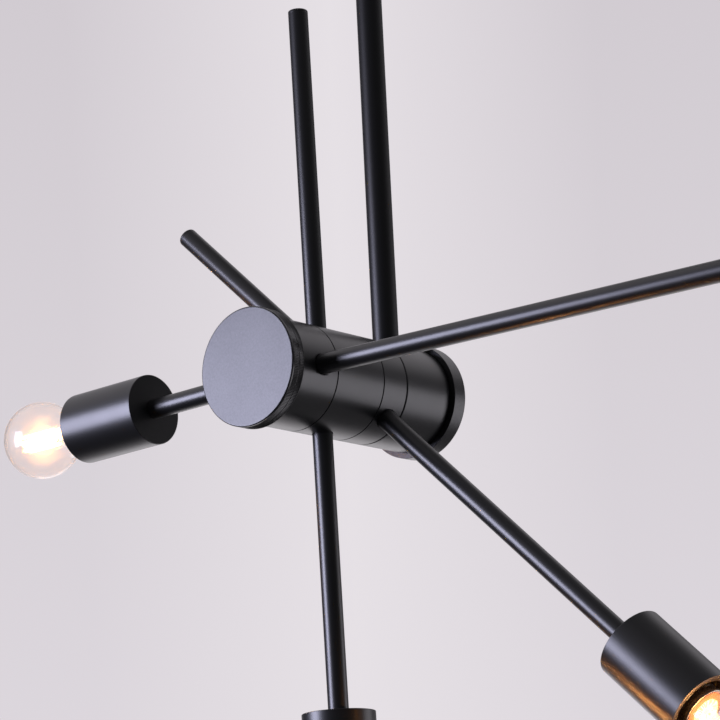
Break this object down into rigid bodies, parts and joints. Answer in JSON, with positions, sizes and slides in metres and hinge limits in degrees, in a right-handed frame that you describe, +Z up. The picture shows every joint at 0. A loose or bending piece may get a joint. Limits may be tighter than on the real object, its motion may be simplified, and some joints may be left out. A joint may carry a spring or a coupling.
{
  "type": "ceiling light",
  "caption": "Black stick ceiling light: a rigid stem holds a horizontal hub of turning rings, each with a tube arm that ends in a lamp cup with a clear globe bulb.",
  "frame": {"origin": "on the ceiling plane, on the stem's axis", "axes": "+Z up into the ceiling, Y along the hub with the near cap towards -Y, +X to the right"},
  "size_m": [0.5524, 0.1886, 0.797],
  "materials": {
    "black_steel": "satin black paint on steel",
    "black_aluminium": "satin black paint on turned aluminium",
    "steel": "zinc plated",
    "nylon": "dark nylon",
    "white_plastic": "moulded insulating plastic",
    "wire_sheath": "black wire sheath",
    "black_plastic": "moulded heat resistant plastic",
    "brass": "bare brass",
    "clear_glass": "clear blown glass",
    "base_metal": "plated screw base",
    "filament": "phosphor coated filament"
  },
  "bodies": {
    "fixture": {"ceiling_bracket": "steel", "hanger_nut": "steel", "terminal_block": "white_plastic", "earth_screw": "steel", "upper_stem": "black_steel", "lower_stem": "black_steel", "stem_bushes": "steel", "stem_nipples": "steel", "supply_cable": "wire_sheath", "hub_loom": "wire_sheath", "stem_body": "black_aluminium", "hub_axle": "steel", "friction_washers": "nylon"},
    "canopy_cover": {"canopy": "black_steel", "canopy_collar": "black_steel", "thumb_screw": "black_steel"},
    "near_clamp": {"near_washer": "nylon"},
    "near_knob": {"near_cap": "black_aluminium"},
    "far_clamp": {"far_washer": "nylon"},
    "far_knob": {"far_cap": "black_aluminium"},
    "arm_a": {"ring_a": "black_aluminium", "lamp_tube_a": "black_steel", "tail_tube_a": "black_steel", "tail_plug_a": "black_steel", "arm_nipples_a": "steel", "arm_lead_a": "wire_sheath", "lamp_cup_a": "black_steel", "lampholder_a": "black_plastic", "socket_contacts_a": "brass"},
    "bulb_a": {"bulb_glass_a": "clear_glass", "bulb_base_a": "base_metal", "bulb_mount_a": "clear_glass", "bulb_filaments_a": "filament"},
    "arm_b": {"ring_b": "black_aluminium", "lamp_tube_b": "black_steel", "tail_tube_b": "black_steel", "tail_plug_b": "black_steel", "arm_nipples_b": "steel", "arm_lead_b": "wire_sheath", "lamp_cup_b": "black_steel", "lampholder_b": "black_plastic", "socket_contacts_b": "brass"},
    "bulb_b": {"bulb_glass_b": "clear_glass", "bulb_base_b": "base_metal", "bulb_mount_b": "clear_glass", "bulb_filaments_b": "filament"},
    "arm_c": {"ring_c": "black_aluminium", "lamp_tube_c": "black_steel", "tail_tube_c": "black_steel", "tail_plug_c": "black_steel", "arm_nipples_c": "steel", "arm_lead_c": "wire_sheath", "lamp_cup_c": "black_steel", "lampholder_c": "black_plastic", "socket_contacts_c": "brass"},
    "bulb_c": {"bulb_glass_c": "clear_glass", "bulb_base_c": "base_metal", "bulb_mount_c": "clear_glass", "bulb_filaments_c": "filament"}
  },
  "joints": [
    {"name": "canopy_drop", "type": "slide", "parent": "fixture", "child": "canopy_cover", "axis": [0, 0, -1], "range_m": [0, 0.03]},
    {"name": "arm_a_swing", "type": "hinge", "parent": "fixture", "child": "arm_a", "pos_m": [0, 0, -0.4825], "axis": [0, -1, 0], "range_deg": [-40, 20]},
    {"name": "bulb_a_out", "type": "slide", "parent": "arm_a", "child": "bulb_a", "axis": [0.0175, 0, -0.9998], "range_m": [0, 0.03]},
    {"name": "arm_b_swing", "type": "hinge", "parent": "fixture", "child": "arm_b", "pos_m": [0, 0, -0.4825], "axis": [0, -1, 0], "range_deg": [-18, 165]},
    {"name": "bulb_b_out", "type": "slide", "parent": "arm_b", "child": "bulb_b", "axis": [0.729, 0, -0.6845], "range_m": [0, 0.03]},
    {"name": "arm_c_swing", "type": "hinge", "parent": "fixture", "child": "arm_c", "pos_m": [0, 0, -0.4825], "axis": [0, -1, 0], "range_deg": [-165, 35]},
    {"name": "bulb_c_out", "type": "slide", "parent": "arm_c", "child": "bulb_c", "axis": [-0.9995, 0, -0.0332], "range_m": [0, 0.03]},
    {"name": "near_cap_travel", "type": "slide", "parent": "fixture", "child": "near_clamp", "axis": [0, -1, 0], "range_m": [0, 0.00301]},
    {"name": "near_cap_turn", "type": "hinge", "parent": "near_clamp", "child": "near_knob", "pos_m": [0, 0, -0.4825], "axis": [0, -1, 0], "range_deg": [0, 720]},
    {"name": "far_cap_travel", "type": "slide", "parent": "fixture", "child": "far_clamp", "axis": [0, 1, 0], "range_m": [0, 0.00301]},
    {"name": "far_cap_turn", "type": "hinge", "parent": "far_clamp", "child": "far_knob", "pos_m": [0, 0, -0.4825], "axis": [0, 1, 0], "range_deg": [0, 720]}
  ],
  "couplings": [
    {"joint": "near_cap_travel", "follows": "near_cap_turn", "m_per_rad": 0.00023873},
    {"joint": "far_cap_travel", "follows": "far_cap_turn", "m_per_rad": 0.00023873}
  ]
}
